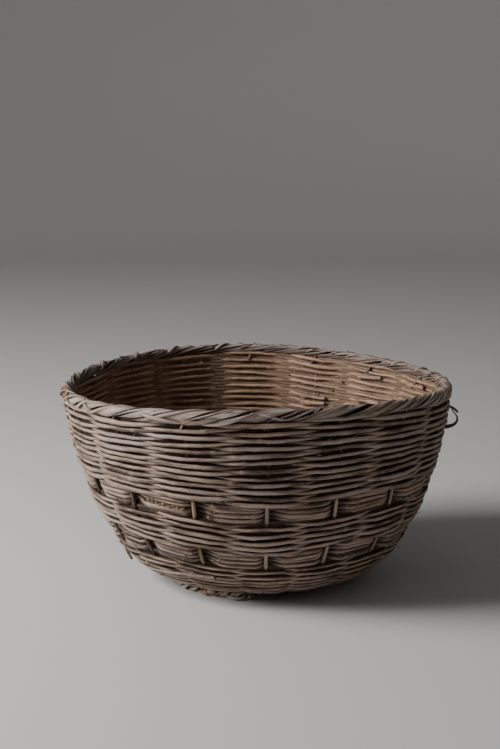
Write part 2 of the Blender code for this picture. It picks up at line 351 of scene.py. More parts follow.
def blend(factor, a, b):
    """Colour a where the factor is zero, and colour b where it is one."""
    node = new_node(factor.id_data, "ShaderNodeMix", data_type="RGBA")
    fill(node.inputs["Factor"], factor)
    fill(node.inputs["A"], a)
    fill(node.inputs["B"], b)
    return node.outputs["Result"]


def between(value, low, high):
    """Zero at low and one at high, with a soft step from one to the other."""
    node = new_node(value.id_data, "ShaderNodeMapRange", interpolation_type="SMOOTHSTEP")
    fill(node.inputs["Value"], value)
    fill(node.inputs["From Min"], low)
    fill(node.inputs["From Max"], high)
    return node.outputs["Result"]


def bark_noise(bark, scale, detail, rough):
    """Noise on the bark coordinates. A small first scale draws it out along the rod."""
    stretch = new_node(bark.id_data, "ShaderNodeMapping")
    stretch.inputs["Scale"].default_value = scale
    noise = new_node(bark.id_data, "ShaderNodeTexNoise")
    fill(noise.inputs["Scale"], 1.0)
    fill(noise.inputs["Detail"], detail)
    fill(noise.inputs["Roughness"], rough)
    fill(stretch.inputs["Vector"], bark)
    fill(noise.inputs["Vector"], stretch.outputs["Vector"])
    return noise.outputs["Fac"]


# %% A weathered bark material
OCHRE = (0.40, 0.315, 0.185)
PALE_FLECK = (0.66, 0.54, 0.45)
KNOT_SCAR = (0.46, 0.32, 0.24)


def bark_material(name, dark, middle_tone, pale, bloom, grey, inner, roughness):
    """Dark is the colour of dirt, cracks and painted shade, middle_tone and pale are bare
    bark, bloom and grey are the film outside, and inner is the film inside the basket."""
    material = bpy.data.materials.new(name)
    material.use_nodes = True
    tree = material.node_tree
    shader = tree.nodes["Principled BSDF"]
    bark = stored(tree, "bark", "Vector")
    tone = stored(tree, "tone")
    crest = stored(tree, "crest")
    outside = stored(tree, "outside")
    knot = stored(tree, "knot")
    streaks = bark_noise(bark, (34.0, 760.0, 760.0), 6.0, 0.66)
    blotches = bark_noise(bark, (16.0, 120.0, 120.0), 4.0, 0.6)
    tints = bark_noise(bark, (9.0, 60.0, 60.0), 2.0, 0.5)
    grain = bark_noise(bark, (270.0, 1300.0, 1300.0), 4.0, 0.65)

    mixed = plus(times(streaks, 0.55), times(blotches, 0.3))
    mixed = plus(mixed, times(tone, 0.3))
    bare = blend(between(mixed, 0.34, 0.6), dark, middle_tone)
    bare = blend(between(mixed, 0.5, 0.85), bare, pale)

    film = blend(between(tone, 0.45, 1.0), bloom, grey)
    film = blend(times(between(tints, 0.52, 0.68), 0.6), film, OCHRE)
    film = blend(between(outside, 0.3, 0.6), inner, film)
    kept = times(between(blotches, 0.34, 0.60), between(streaks, 0.22, 0.50))
    kept = combine("MAXIMUM", kept, times(between(outside, 0.5, 0.2), 0.5))
    weathered = blend(times(times(crest, kept), 0.95), bare, film)

    flecked = blend(times(between(grain, 0.58, 0.70), 0.62), weathered, PALE_FLECK)
    cracked = blend(times(between(grain, 0.43, 0.32), 0.75), flecked, dark)
    scarred = blend(times(knot, 0.7), cracked, KNOT_SCAR)
    # Where the crest is low the bark turns dark: dirt and painted shade in the gaps and on hidden
    # faces.
    dirt_and_painted_shade = blend(between(crest, 0.12, 0.85), dark, scarred)
    fill(shader.inputs["Base Color"], dirt_and_painted_shade)
    fill(shader.inputs["Roughness"], plus(times(streaks, 0.3), roughness))
    fill(shader.inputs["Specular IOR Level"], 0.35)

    bump = new_node(tree, "ShaderNodeBump")
    fill(bump.inputs["Strength"], 0.8)
    fill(bump.inputs["Distance"], 0.0010)
    fill(bump.inputs["Height"], plus(times(streaks, 0.7), times(grain, 0.3)))
    fill(shader.inputs["Normal"], bump.outputs["Normal"])
    print(name, "nodes", len(tree.nodes))
    return material


# %% The bark of each kind of rod
weaver_bark = bark_material(
    "weaver_bark", dark=(0.018, 0.010, 0.006), middle_tone=(0.12, 0.066, 0.042),
    pale=(0.27, 0.170, 0.120), bloom=(0.45, 0.315, 0.245),
    grey=(0.42, 0.345, 0.315), inner=(0.49, 0.295, 0.188), roughness=0.38)
stake_bark = bark_material(
    "stake_bark", dark=(0.026, 0.015, 0.009), middle_tone=(0.15, 0.090, 0.058),
    pale=(0.30, 0.205, 0.145), bloom=(0.42, 0.315, 0.235),
    grey=(0.38, 0.32, 0.28), inner=(0.36, 0.23, 0.14), roughness=0.42)
floor_bark = bark_material(
    "floor_bark", dark=(0.018, 0.010, 0.006), middle_tone=(0.10, 0.058, 0.035),
    pale=(0.20, 0.125, 0.080), bloom=(0.28, 0.185, 0.120),
    grey=(0.26, 0.20, 0.16), inner=(0.30, 0.19, 0.12), roughness=0.52)
border_bark = bark_material(
    "border_bark", dark=(0.020, 0.012, 0.008), middle_tone=(0.14, 0.084, 0.060),
    pale=(0.31, 0.220, 0.175), bloom=(0.48, 0.375, 0.325),
    grey=(0.47, 0.41, 0.40), inner=(0.34, 0.23, 0.16), roughness=0.34)
# A paler copy of the bark, painted light, so that the binding and the curled end look lit where
# they lie in shade.
painted_light_bark = bark_material(
    "painted_light_bark", dark=(0.030, 0.018, 0.012), middle_tone=(0.20, 0.130, 0.095),
    pale=(0.40, 0.295, 0.230), bloom=(0.64, 0.510, 0.425),
    grey=(0.60, 0.53, 0.49), inner=(0.40, 0.28, 0.20), roughness=0.46)
tie_bark = bark_material(
    "tie_bark", dark=(0.022, 0.012, 0.007), middle_tone=(0.16, 0.080, 0.045),
    pale=(0.33, 0.180, 0.105), bloom=(0.42, 0.250, 0.150),
    grey=(0.36, 0.26, 0.19), inner=(0.34, 0.20, 0.12), roughness=0.50)
# The bark of the filler strips; their outer faces are painted dark as shade.
shade_filler_bark = bark_material(
    "shade_filler_bark", dark=(0.014, 0.008, 0.005), middle_tone=(0.14, 0.085, 0.055),
    pale=(0.24, 0.155, 0.105), bloom=(0.26, 0.180, 0.130),
    grey=(0.24, 0.19, 0.15), inner=(0.27, 0.17, 0.11), roughness=0.60)

# %% [markdown]
# ## Side stakes
# Sixteen stout rods lie on the floor beside the floor sticks, bend up at the heel and run
# to the border. They carry the weave, so they stay nearly straight. Their bark is pale
# only where they lie bare in the two open bands. Under the weave it is painted dark as
# shade, and on four stakes on the left the bare part is painted dark as shade too.

# %% Side stakes
STAKE_START = -0.039
STAKE_END = 0.2948
STAKE_THICK = 0.0027
POINTED_LENGTH = 0.12
POINTED_LOSS = 0.0005
LOWER_BAND = (0.0980, 0.1224)
UPPER_BAND = (0.1672, 0.1920)
BARE_MARGIN = 0.002
BARE_FADE = 0.004
# The stakes on the left whose bare part in the open bands is painted dark as shade, and the share
# of bare bark they keep there.
SHADED_STAKES = (11, 12, 13, 14)
SHADED_STAKE_BARE = 0.3


def stake_radius(s):
    """The stakes were pointed for the floor, so they are thinner low down."""
    return STAKE_THICK - POINTED_LOSS * (1 - np.clip(s / POINTED_LENGTH, 0, 1))


def bare_in_bands(s):
    """One where a stake lies bare in an open band, and zero under the weave."""
    shares = []
    for low, high in (LOWER_BAND, UPPER_BAND):
        above = np.clip((s - (low - BARE_MARGIN)) / BARE_FADE, 0, 1)
        below = np.clip(((high + BARE_MARGIN) - s) / BARE_FADE, 0, 1)
        shares.append(above * below)
    return sum(shares)


for index in range(STAKE_COUNT):
    s = np.linspace(STAKE_START, STAKE_END, 150)
    side = wander(s, 0.25, radians(0.25))
    points, outward = on_wall(stake_angle(index) + side, s, out=wander(s, 0.2, 0.0003))
    radius, knot = rod_thickness(s, 1.0, 1.0)
    radius = radius * stake_radius(s)
    # Under the weave the stakes are painted dark as shade, and so are the listed stakes on the left
    # in the bands.
    bloom = bare_in_bands(s) * (SHADED_STAKE_BARE if index in SHADED_STAKES else 1.0)
    tone = chance.uniform(0.2, 1.0)
    rod = carry_ring(points, outward, radius, radius, tone, bare_out=bloom, bare_in=0.5, knot=knot)
    name = f"side_stake_{index + 1:02d}"
    make_piece(name + "_rod", [rod], stake_bark, "stake_rod", name)

# %% [markdown]
# ## The woven zones
# Two rods chase each other round the basket. Each passes outside one stake and inside the
# next, and the second takes the other turn half a row higher. Behind the basket the rods
# step up by one row. A row is long and flat outside and dives only close to its stake,
# and where two rods cross they squeeze each other thin, so each span looks like a leaf.
# New rods are laid in behind a stake, and a short end of each stays inside.

# %% The path of a weaving rod
ROUND_SAMPLES = 480
BACK_STAKE = 8
STEP_UP = 1.2


def weave_wave(part, flatness):
    """Plus one outside a stake, minus one inside the next, and flatter outside."""
    turn = np.cos(pi * part)
    return 1 - 2 * ((1 - turn) / 2) ** flatness, turn


def row_level(part, pitch):
    """Rows stay level, and step up by one pitch just before the back stake."""
    number = np.floor(part / STAKE_COUNT)
    late = np.clip((part - number * STAKE_COUNT - STAKE_COUNT + STEP_UP) / STEP_UP, 0, 1)
    return pitch * (number + late ** 2 * (3 - 2 * late))


def pressed(s):
    """Half thickness as a share of half width. The lower rows are beaten down harder."""
    return 0.70 + 0.14 * np.clip(s / 0.15, 0, 1)


# %% One weaving rod
END_LENGTH = 0.22
END_TUCK = 0.0022
END_SPLAY = 0.0016
STAKE_GAP = 0.0001
INSIDE_DROP = 0.0026
CROSSING_SHARE = 0.84
OUTSIDE_SWELL = 0.24
INSIDE_SWELL = 0.10


def woven_rod(low, high, level, pitch, first_side, butt, tip, last, flatness):
    """A rod from one stake to another, with both of its ends tucked inside."""
    samples = int((high - low) * ROUND_SAMPLES / STAKE_COUNT)
    part = np.linspace(low - END_LENGTH, high + END_LENGTH, samples)
    part = part[(part >= 0) & (part <= last)]
    held = np.clip(part, low, high)
    beyond = np.abs(part - held) / END_LENGTH
    wave, turn = weave_wave(held + first_side, flatness)
    s = level + row_level(part, pitch)
    along = part * STAKE_STEP * profile(s)[0]
    stout = chance.uniform(0.80, 1.14)
    radius, knot = rod_thickness(along, butt * stout, tip * stout)
    thick = radius * pressed(s)
    out = (stake_radius(s) + thick + STAKE_GAP) * wave + wander(along, 0.3, 0.0003)
    out = out - END_TUCK * beyond
    s = s - INSIDE_DROP * (1 - s / WALL_LENGTH) * (1 - wave) / 2 + wander(along, 0.35, 0.0012)
    s = s + END_SPLAY * beyond * np.sign(held - part) + wander(along, 0.055, 0.0004)
    out = out + wander(along, 0.045, 0.0002)
    swell = np.where(turn > 0, OUTSIDE_SWELL, INSIDE_SWELL) * np.abs(turn) ** 0.7
    wide = radius * (CROSSING_SHARE + swell)
    points, outward = on_wall(stake_angle(BACK_STAKE + part), s, out=out)
    tone = chance.uniform(0.0, 1.0)
    # Where the rod runs inside a stake its outer face is painted dark as shade, and where it runs
    # outside its inner face is painted a little darker as shade.
    bare_out = 0.8 + 0.8 * wave
    bare_in = 1.0 - 0.25 * wave
    return carry_ring(points, outward, thick, wide, tone, bare_out, bare_in, knot)


# %% Woven zones
ROD_SPANS = [14, 16, 18, 20, 22]
SHORTEST_ROD = 6
LAST_GAP = 0.3
# Each zone: its name, where it starts and ends along the wall, its rounds, half the
# thickness of a rod at its butt and at its tip, and how flat its rods lie outside.
ZONES = [("lower", 0.0165, LOWER_BAND[0], 9, 0.0029, 0.0025, 2.2),
         ("middle", LOWER_BAND[1], UPPER_BAND[0], 5, 0.0029, 0.0025, 1.8),
         ("upper", UPPER_BAND[1], 0.3005, 12, 0.0031, 0.0026, 1.5)]


def row_pitch(start, end, rounds, butt):
    return (end - start - 2 * butt) / (rounds - 0.5)


def weave_rods(start, end, rounds, first_side, butt, tip, flatness):
    """The rods of one half of a pair, laid end to end from the bottom row to the top."""
    pitch = row_pitch(start, end, rounds, butt)
    level = start + butt + 0.5 * pitch * first_side
    last = rounds * STAKE_COUNT - LAST_GAP
    rods = []
    low = 0.0
    while low < last:
        high = low + int(chance.choice(ROD_SPANS))
        if (high + first_side) % 2 == 0:
            high += 1
        if high > last - SHORTEST_ROD:
            high = last
        rods.append(woven_rod(low, high, level, pitch, first_side, butt, tip, last, flatness))
        low = high
    return rods


for zone, start, end, rounds, butt, tip, flatness in ZONES:
    for letter, first_side in (("a", 0), ("b", 1)):
        node = f"{zone}_weaver_{letter}"
        rods = weave_rods(start, end, rounds, first_side, butt, tip, flatness)
        make_piece(node + "_rods", rods, weaver_bark, "weathered_rod", node)

# %% [markdown]
# ## Dark filler strips in the gaps
# Thin flat strips fill the gaps between the rods in the middle of the wall, so hardly any
# light comes through it, and their outer faces are painted dark as the shade in the gaps.
# They lie along every gap and overlap at their ends. High on the far left the strips are
# almost gone in a few slits, and light comes through there.

# %% One filler strip
THICK_FILLER = 0.0018
FILLER_SINK = 0.0014
MIDDLE_RADIUS = 0.2
SLIT_REACH = 0.0022
SLIT_NARROWING = 0.93
# Each slit: degrees round the basket, its place along the wall, and half its width in degrees.
SLITS = [(-150, 0.2996, 4.5), (-161, 0.2951, 2.2), (-165, 0.2996, 2.2), (-161, 0.2862, 2.2),
         (-132, 0.2907, 1.5), (-136, 0.2907, 2.0), (-178.5, 0.2996, 2.2), (-113, 0.2951, 1.0)]


def in_open_slits(angle, level):
    """One in the slits where the filler strips are almost gone and light comes through."""
    gone = np.zeros_like(angle)
    for place, height, half in SLITS:
        away = apart(angle, radians(place)) / radians(half)
        gone = np.maximum(gone, (np.abs(level - height) < SLIT_REACH) * np.exp(-away ** 4))
    return gone


def tapered_ends(part, length, least):
    """One along a strip, and down to the least share at both of its ends."""
    return np.clip(np.minimum(part - part[0], part[-1] - part) / length, least, 1)


def filler_strip(part, level, filler_wide, filler_thick):
    """One flat filler strip, thin at its ends and almost gone in the slits. Its outer face is
    painted dark as shade.
    """
    along = part * STAKE_STEP * MIDDLE_RADIUS
    ends = tapered_ends(part, 0.15, 0.15)
    wide = filler_wide * ends * (1 + 0.12 * wander(along, 0.05, 1.0))
    out = wander(along, 0.07, 0.0006) - FILLER_SINK * filler_thick / THICK_FILLER
    angle = stake_angle(BACK_STAKE + part)
    wide = wide * (1 - SLIT_NARROWING * in_open_slits(angle, level))
    points, outward = on_wall(angle, level, out=out)
    thick = filler_thick * ends
    return carry_ring(points, outward, thick, wide, tone=0.3, bare_out=0.15, bare_in=1.0)


# %% Filler strips in the woven zones
FILLER_OVERLAP = 0.08
EDGE_MARGIN = 0.001
# For each zone: half the width of a filler strip as a share of the rows' pitch, and its thickness.
FILLERS = {"lower": (0.37, THICK_FILLER), "middle": (0.34, THICK_FILLER), "upper": (0.29, 0.0012)}


def filler_strips(start, end, rounds, butt, filler_share, filler_thick):
    """Filler strips of uneven length, end to end along every gap of one woven zone."""
    pitch = row_pitch(start, end, rounds, butt)
    strips = []
    for row in range(-1, 2 * rounds + 1):
        first = chance.uniform(-0.4, 0.1)
        while first < STAKE_COUNT - 0.1:
            length = min(chance.uniform(1.2, 5.0), STAKE_COUNT + 0.1 - first)
            samples = max(7, int(length * 14))
            part = np.linspace(first - FILLER_OVERLAP, first + length + FILLER_OVERLAP, samples)
            rise = row_level(np.clip(part, 0, STAKE_COUNT - 0.001), pitch)
            level = start + butt + 0.5 * pitch * (row - 0.5) + rise
            level = level + wander(part * STAKE_STEP * MIDDLE_RADIUS, 0.12, 0.0004)
            level = np.clip(level, start + EDGE_MARGIN, end - EDGE_MARGIN)
            strips.append(filler_strip(part, level, filler_share * pitch, filler_thick))
            first += length + chance.uniform(-0.15, 0.05)
    return strips


for zone, start, end, rounds, butt, *_ in ZONES:
    fillers = filler_strips(start, end, rounds, butt, *FILLERS[zone])
    make_piece(f"{zone}_caked_dirt", fillers, shade_filler_bark, "weathered_rod")

# %% [markdown]
# ## Rods laid in outside
# Low on the left two stiff rods were laid in from outside. One is cut off square on the
# front, and the other's end stands out of the wall. A third lies low on the right, behind.

# %% Laid-in rods
LAID_OUT = 0.0052
# Each rod: start and end in degrees, start and end along the wall, how far its first end
# stands out, and half its thickness at the first and the last end.
LAID_RODS = [(-17, -60, 0.0815, 0.0600, 0.0028, 0.0031, 0.0020),
             (-71.5, -98, 0.0670, 0.0800, 0.0046, 0.0021, 0.0028),
             (118, 150, 0.0700, 0.0640, 0.0030, 0.0029, 0.0022)]


def laid_rod(start, end, s_start, s_end, lift, butt, tip):
    """A straight stiff rod on the outside of the weave, with its first end lifted off it."""
    share = np.linspace(0, 1, 90)
    theta = radians(1) * (start + (end - start) * share)
    s = s_start + (s_end - s_start) * share
    radius, knot = rod_thickness(share * 0.15, butt, tip)
    out = LAID_OUT + lift * (1 - np.sin(pi * np.clip(share, 0, 0.9) / 1.8))
    points, outward = on_wall(theta, s, out=out)
    tone = chance.uniform(0.3, 1)
    # Their faces against the weave are painted dark as shade.
    return carry_ring(points, outward, radius * 0.9, radius, tone,
                      bare_out=0.9, bare_in=0.2, knot=knot)


laid_rods = [laid_rod(*numbers) for numbers in LAID_RODS]
make_piece("laid_in_rods", laid_rods, weaver_bark, "weathered_rod")

# %% [markdown]
# ## Open bands
# Between the woven zones a few rods are only sprung in behind the stakes. They bulge
# out between them, so a small window with a bare stake in it shows at every stake. The
# rods swing out a little way past the stake, which leaves a dark slit on its right, and
# where they lie behind a stake their bark is painted dark as shade. Filler strips lie
# between these rods too, and short ones deep behind each stake keep its window dark; their
# outer faces are painted dark as the shade in these gaps.

# %% Rods of the open bands
BAND_RODS = 4
BAND_BUTT = 0.0030
BAND_TIP = 0.0026
BAND_BULGE = 0.0078
BAND_LAP = 0.2
LAP_REACH = 0.35
LAP_FADE = 0.3
LAP_THINNING = 0.42
LAP_SHIFT = 0.0015
BAND_WIDENING = 1.05
# Where a rod swings out past a stake and comes back to the next, as shares of a span.
OUT_FROM = 0.07
OUT_OVER = 0.30
BACK_AT = 0.985
BACK_OVER = 0.17


def band_path(part, radius):
    """Behind each stake, and out between the stakes."""
    past = part % 1.0
    rising = np.clip((past - OUT_FROM) / OUT_OVER, 0, 1)
    falling = np.clip((BACK_AT - past) / BACK_OVER, 0, 1)
    bulge = (rising * falling) ** 1.5 * (2.5 - 1.5 * rising * falling)
    inside = -(STAKE_THICK + radius + STAKE_GAP)
    return inside + BAND_BULGE * bulge, bulge


def band_rods(start, end):
    """Rods that run once round. Their thin ends lie one above the other at the back stake."""
    rods = []
    for number in range(BAND_RODS):
        part = np.linspace(-BAND_LAP, STAKE_COUNT + BAND_LAP, ROUND_SAMPLES)
        first_end = np.clip((LAP_REACH - part) / LAP_FADE, 0, 1)
        last_end = np.clip((part - STAKE_COUNT + LAP_REACH) / LAP_FADE, 0, 1)
        along = part * STAKE_STEP * profile(start)[0]
        level = start + (end - start) * (number + 0.5) / BAND_RODS
        radius, knot = rod_thickness(along, BAND_BUTT, BAND_TIP)
        out, bulge = band_path(part, radius)
        spans = np.clip(part.astype(int), 0, STAKE_COUNT - 1)
        out = out + bulge * (chance.uniform(-0.0020, 0.0008, STAKE_COUNT)[spans])
        level = level + bulge * chance.uniform(-0.0012, 0.0012, STAKE_COUNT)[spans]
        level = level + wander(along, 0.3, 0.0006) + LAP_SHIFT * (last_end - first_end)
        points, outward = on_wall(stake_angle(BACK_STAKE + part), level, out=out)
        thinned = 1 - LAP_THINNING * np.maximum(first_end, last_end)
        radius = radius * chance.uniform(0.85, 1.08) * thinned
        tone = chance.uniform(0.0, 1.0)
        # Where a rod lies behind a stake its outer face is painted dark as shade, which darkens the
        # slit beside the stake.
        rods.append(carry_ring(points, outward, radius, radius * BAND_WIDENING, tone,
                               bare_out=bulge, bare_in=0.9, knot=knot))
    return rods


# %% Filler strips in the open bands
FILLER_HALF = 0.0028
BAND_FILLER_SINK = 0.0012
WINDOW_FILLER_SINK = 0.0022
WINDOW_FILLER_HALF = 0.0026
WINDOW_FILLER_THICK = 0.0010


def band_fillers(start, end):
    """Filler strips between the bulging rods, one in each gap of each span, with their outer
    faces painted dark as shade.
    """
    strips = []
    for number in range(BAND_RODS + 1):
        for stake in range(STAKE_COUNT):
            first = stake + chance.uniform(0.15, 0.22)
            part = np.linspace(first, stake + chance.uniform(0.90, 0.99), 14)
            along = part * STAKE_STEP * profile(start)[0]
            level = start + (end - start) * number / BAND_RODS + wander(along, 0.1, 0.0004)
            out, _ = band_path(part, FILLER_HALF)
            ends = tapered_ends(part, 0.1, 0.15)
            wide = FILLER_HALF * ends * (1 + 0.15 * wander(along, 0.03, 1.0))
            out = out - BAND_FILLER_SINK
            points, outward = on_wall(stake_angle(BACK_STAKE + part), level, out=out)
            strips.append(carry_ring(points, outward, THICK_FILLER * ends, wide,
                                     tone=0.3, bare_out=0.2, bare_in=1.0))
    return strips


def window_fillers(start, end):
    """Short filler strips deep behind each stake, painted dark as shade, so that its window
    stays dark.
    """
    strips = []
    for number in range(BAND_RODS + 1):
        for stake in range(STAKE_COUNT):
            part = np.linspace(stake - 0.14, stake + 0.26, 11)
            out, _ = band_path(part, FILLER_HALF)
            ends = tapered_ends(part, 0.05, 0.3)
            thick = WINDOW_FILLER_THICK * ends
            wide = WINDOW_FILLER_HALF * ends
            level = start + (end - start) * number / BAND_RODS
            out = out - WINDOW_FILLER_SINK
            points, outward = on_wall(stake_angle(BACK_STAKE + part), level, out=out)
            strips.append(carry_ring(points, outward, thick, wide,
                                     tone=0.1, bare_out=0.0, bare_in=0.7))
    return strips


# %% Open bands
BAND_BELOW = 0.0005
BAND_ABOVE = 0.0015

for node, band in (("lower_band_rod", LOWER_BAND), ("upper_band_rod", UPPER_BAND)):
    start = band[0] - BAND_BELOW
    end = band[1] + BAND_ABOVE
    make_piece(node + "s", band_rods(start, end), weaver_bark, "weathered_rod", node)
    fillers = band_fillers(start, end) + window_fillers(start, end)
    make_piece(node.replace("rod", "caked_dirt"), fillers, shade_filler_bark, "weathered_rod")

# %% [markdown]
# ## Floor and foot
# Eight sticks cross in the middle, four over four, and are fanned out like the spokes of
# a wheel. Rods bind the middle, and a pair of thin rods is woven round the sticks in a
# spiral. A few more rods and a filler strip close the edge under the heel, and the outer
# faces of the filler are painted dark as shade. Below it lies a foot ring of three rods
# twisted together, worn flat where it stands.

# %% Floor sticks
STICK_TURN = radians(-5.6)
STICK_THICK = 0.00275
STICK_TIP = 0.0026
STICK_APART = 0.0058
STICK_LAYER = 0.0029
STICK_SAMPLES = 90
CROSS_HALF = 0.0142
FAN_RADIUS = 0.034
STICK_END = 0.0988


def smooth_through(corners, count):
    """A smooth line through a few points. The samples are shared out evenly between them."""
    corners = np.array(corners)
    before = 2 * corners[:1] - corners[1:2]
    after = 2 * corners[-1:] - corners[-2:-1]
    p = np.concatenate([before, corners, after])
    t = np.linspace(0, len(corners) - 1 - 1e-6, count)
    i = t.astype(int)
    f = (t - i)[:, None]
    a, b, c, d = p[i], p[i + 1], p[i + 2], p[i + 3]
    return 0.5 * (2 * b + (c - a) * f + (2 * a - 5 * b + 4 * c - d) * f ** 2
                  + (3 * b - a - 3 * c + d) * f ** 3)


def from_centre(angle, radius, height):
    """Points given by their angle round the basket, their radius and their height."""
    places = np.broadcast_arrays(radius * np.sin(angle), -radius * np.cos(angle), height)
    return np.stack(places, -1)


def stick_line(crossing, place):
    """Fanned out on both sides, and side by side with its three neighbours where they cross."""
    height = FLOOR_HEIGHT + (STICK_LAYER if crossing else -STICK_LAYER)
    heading = stake_angle(crossing * 4 + 1.5) + STICK_TURN
    aside = (place - 1.5) * STICK_APART
    near = stake_angle(crossing * 4 + place) + STICK_TURN
    far = stake_angle(8 + crossing * 4 + 3 - place) + STICK_TURN
    cross = [(aside * cos(heading) + d * sin(heading), aside * sin(heading) - d * cos(heading),
              height) for d in (CROSS_HALF, -CROSS_HALF)]
    near_half = from_centre(near, np.array([STICK_END, FAN_RADIUS]), FLOOR_HEIGHT)
    far_half = from_centre(far, np.array([FAN_RADIUS, STICK_END]), FLOOR_HEIGHT)
    return smooth_through([*near_half, *cross, *far_half], STICK_SAMPLES)


for number in range(8):
    line = stick_line(number // 4, number % 4)
    upward = np.tile([0.0, 0.0, 1.0], (STICK_SAMPLES, 1))
    radius, knot = rod_thickness(np.linspace(0, 0.2, STICK_SAMPLES), STICK_THICK, STICK_TIP)
    tone = chance.uniform(0, 1)
    # Their undersides are painted a little darker than their tops, as shade.
    rod = carry_ring(line, upward, radius * 0.97, radius, tone,
                     bare_out=0.8, bare_in=0.5, knot=knot)
    name = f"floor_stick_{number + 1}"
    make_piece(name + "_rod", [rod], floor_bark, "floor_rod", name)

# %% Floor weave
FLOOR_WEAVE_START = 0.043
FLOOR_WEAVE_ROUNDS = 5
FLOOR_LEVEL = 0.0049
FLOOR_ROD = 0.0021
PAIRED_FROM = 0.059
PAIRED_OVER = 0.004
FLOOR_WEAVE_OUT = 0.0053
PAIRED_OUT = 0.0006

for letter, first_side in (("a", 0), ("b", 1)):
    turns = np.linspace(0.0, FLOOR_WEAVE_ROUNDS - 1 / STAKE_COUNT, FLOOR_WEAVE_ROUNDS * 200)
    part = turns * STAKE_COUNT
    radius = FLOOR_WEAVE_START + first_side * FLOOR_LEVEL + 2 * FLOOR_LEVEL * turns
    paired = np.clip((radius - PAIRED_FROM) / PAIRED_OVER, 0, 1)
    theta = stake_angle(part) + STICK_TURN * (1 - 0.5 * paired)
    wave = np.cos(pi * (part + first_side))
    along = part * STAKE_STEP * radius
    thick, knot = rod_thickness(along, FLOOR_ROD, FLOOR_ROD * 0.95)
    out = (FLOOR_WEAVE_OUT + PAIRED_OUT * paired) * wave
    points, outward = on_wall(theta, radius - FLOOR_RADIUS, out=out)
    tone = chance.uniform(0, 1)
    # Where the rod crosses a stick, its face against the stick is painted dark as shade.
    rod = carry_ring(points, outward, thick, thick * 1.1, tone,
                     bare_out=0.5 + 0.5 * wave, bare_in=0.6 - 0.4 * wave, knot=knot)
    name = f"floor_weaver_{letter}"
    make_piece(name + "_rod", [rod], floor_bark, "floor_rod", name)

# %% Rods round the middle of the floor
CENTRE_RADII = (0.0178, 0.0222, 0.0266, 0.0310, 0.0354, 0.0396)
CENTRE_LIFT = 0.0050
CENTRE_BUTT = 0.0022
CENTRE_TIP = 0.0020
FIRST_ARM = stake_angle(1.5) + STICK_TURN

centre_rods = []
for number, centre_radius in enumerate(CENTRE_RADII):
    turn = np.linspace(0.1, 2 * pi - 0.1, 140) + number
    spread = np.clip((FAN_RADIUS - centre_radius) / (FAN_RADIUS - CROSS_HALF), 0, 1)
    layer = STICK_LAYER * spread
    arms = 2 if number < 4 else 4
    lift = (CENTRE_LIFT - layer) if number % 2 else -(CENTRE_LIFT + layer)
    height = FLOOR_HEIGHT + lift * np.cos(arms * (turn - FIRST_ARM))
    line = from_centre(turn, centre_radius, height)
    upward = np.tile([0.0, 0.0, 1.0], (len(turn), 1))
    radius, knot = rod_thickness(turn * centre_radius, CENTRE_BUTT, CENTRE_TIP)
    tone = chance.uniform(0, 1)
    # Their undersides are painted dark as shade.
    centre_rods.append(carry_ring(line, upward, radius, radius, tone,
                                  bare_out=0.8, bare_in=0.3, knot=knot))
make_piece("floor_centre_rods", centre_rods, floor_bark, "floor_rod")

# %% Rods along the edge of the floor
EDGE_RADII = (0.1010, 0.1062, 0.1116, 0.1161)
EDGE_BUTT = 0.0027
EDGE_TIP = 0.0024
EDGE_DEPTH = 0.0048
EDGE_SAG = 0.0011

edge_rods = []
for number, edge_radius in enumerate(EDGE_RADII):
    part = np.linspace(0.1, STAKE_COUNT - 0.15, 360) + 5 * number
    along = part * STAKE_STEP * edge_radius
    radius, knot = rod_thickness(along, EDGE_BUTT, EDGE_TIP)
    depth = EDGE_DEPTH - EDGE_SAG * np.abs(np.sin(pi * part)) + wander(along, 0.2, 0.0002)
    points, outward = on_wall(stake_angle(part), edge_radius - FLOOR_RADIUS, out=-depth)
    tone = chance.uniform(0, 1)
    # Their outer faces, under the heel, are painted dark as shade.
    edge_rods.append(carry_ring(points, outward, radius * 0.9, radius, tone,
                                bare_out=0.1, bare_in=0.9, knot=knot))
make_piece("floor_edge_rods", edge_rods, floor_bark, "floor_rod")

# %% Painted shade filler at the heel
HEEL_LEVEL = 0.0150
HEEL_HALF = 0.0030
HEEL_THICK = 0.0014
HEEL_SINK = 0.0008

heel_fillers = []
for first in range(0, STAKE_COUNT, 4):
    part = np.linspace(first - 0.05, first + 4.05, 60)
    along = part * STAKE_STEP * EDGE_RADII[-1]
    wide = HEEL_HALF * (1 + 0.12 * wander(along, 0.04, 1.0))
    level = HEEL_LEVEL + wander(along, 0.08, 0.0003)
    points, outward = on_wall(stake_angle(part), level, out=-HEEL_SINK)
    # Their outer faces under the heel are painted dark as shade.
    heel_fillers.append(carry_ring(points, outward, HEEL_THICK, wide,
                                tone=0.3, bare_out=0.15, bare_in=1.0))
make_piece("heel_caked_dirt", heel_fillers, shade_filler_bark, "floor_rod")

# %% Foot ring
FOOT_RING_RADIUS = 0.109
FOOT_CENTRE = 0.0042
FOOT_STRAND = 0.0024
FOOT_TWISTS = 12
FOOT_GAP = 3

